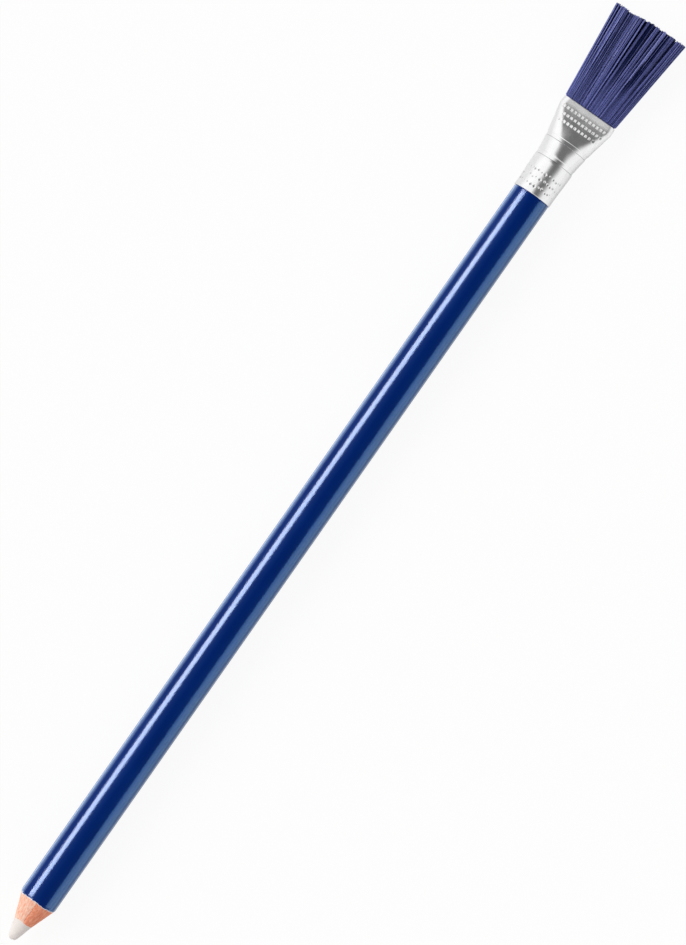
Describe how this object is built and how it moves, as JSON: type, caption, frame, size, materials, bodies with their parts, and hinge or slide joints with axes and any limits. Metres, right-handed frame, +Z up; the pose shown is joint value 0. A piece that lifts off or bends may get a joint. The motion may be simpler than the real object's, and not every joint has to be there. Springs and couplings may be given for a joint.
{
  "type": "typewriter eraser",
  "caption": "Round wooden eraser pencil with a sharpened rubber core and a flat cleaning brush held in a crimped, flared metal ferrule.",
  "frame": {"origin": "on the plane the pencil lies on, below the middle of its bounding box", "axes": "+X along the pencil from the eraser's tip to the brush, +Y across the brush's width, +Z up, across the brush's thickness"},
  "size_m": [0.2076, 0.0154, 0.0081],
  "materials": {
    "slat_left_wood": "planed, unfinished pinkish softwood",
    "slat_right_wood": "planed, unfinished pinkish softwood, a shade darker",
    "eraser_rubber": "matt off-white rubber, lightly worn at the tip",
    "blue_lacquer": "glossy deep blue lacquer, bare of print",
    "ferrule_metal": "bright drawn sheet with pressed marks",
    "set_resin": "set amber resin, hidden",
    "violet_bristle": "fine violet-blue filaments with a soft sheen"
  },
  "bodies": {
    "root": {"casing_slat_left": "slat_left_wood", "casing_slat_right": "slat_right_wood", "eraser_core": "eraser_rubber", "lacquer_coat": "blue_lacquer", "ferrule": "ferrule_metal", "adhesive_plug": "set_resin", "bristle_tuft": "violet_bristle"}
  },
  "joints": []
}
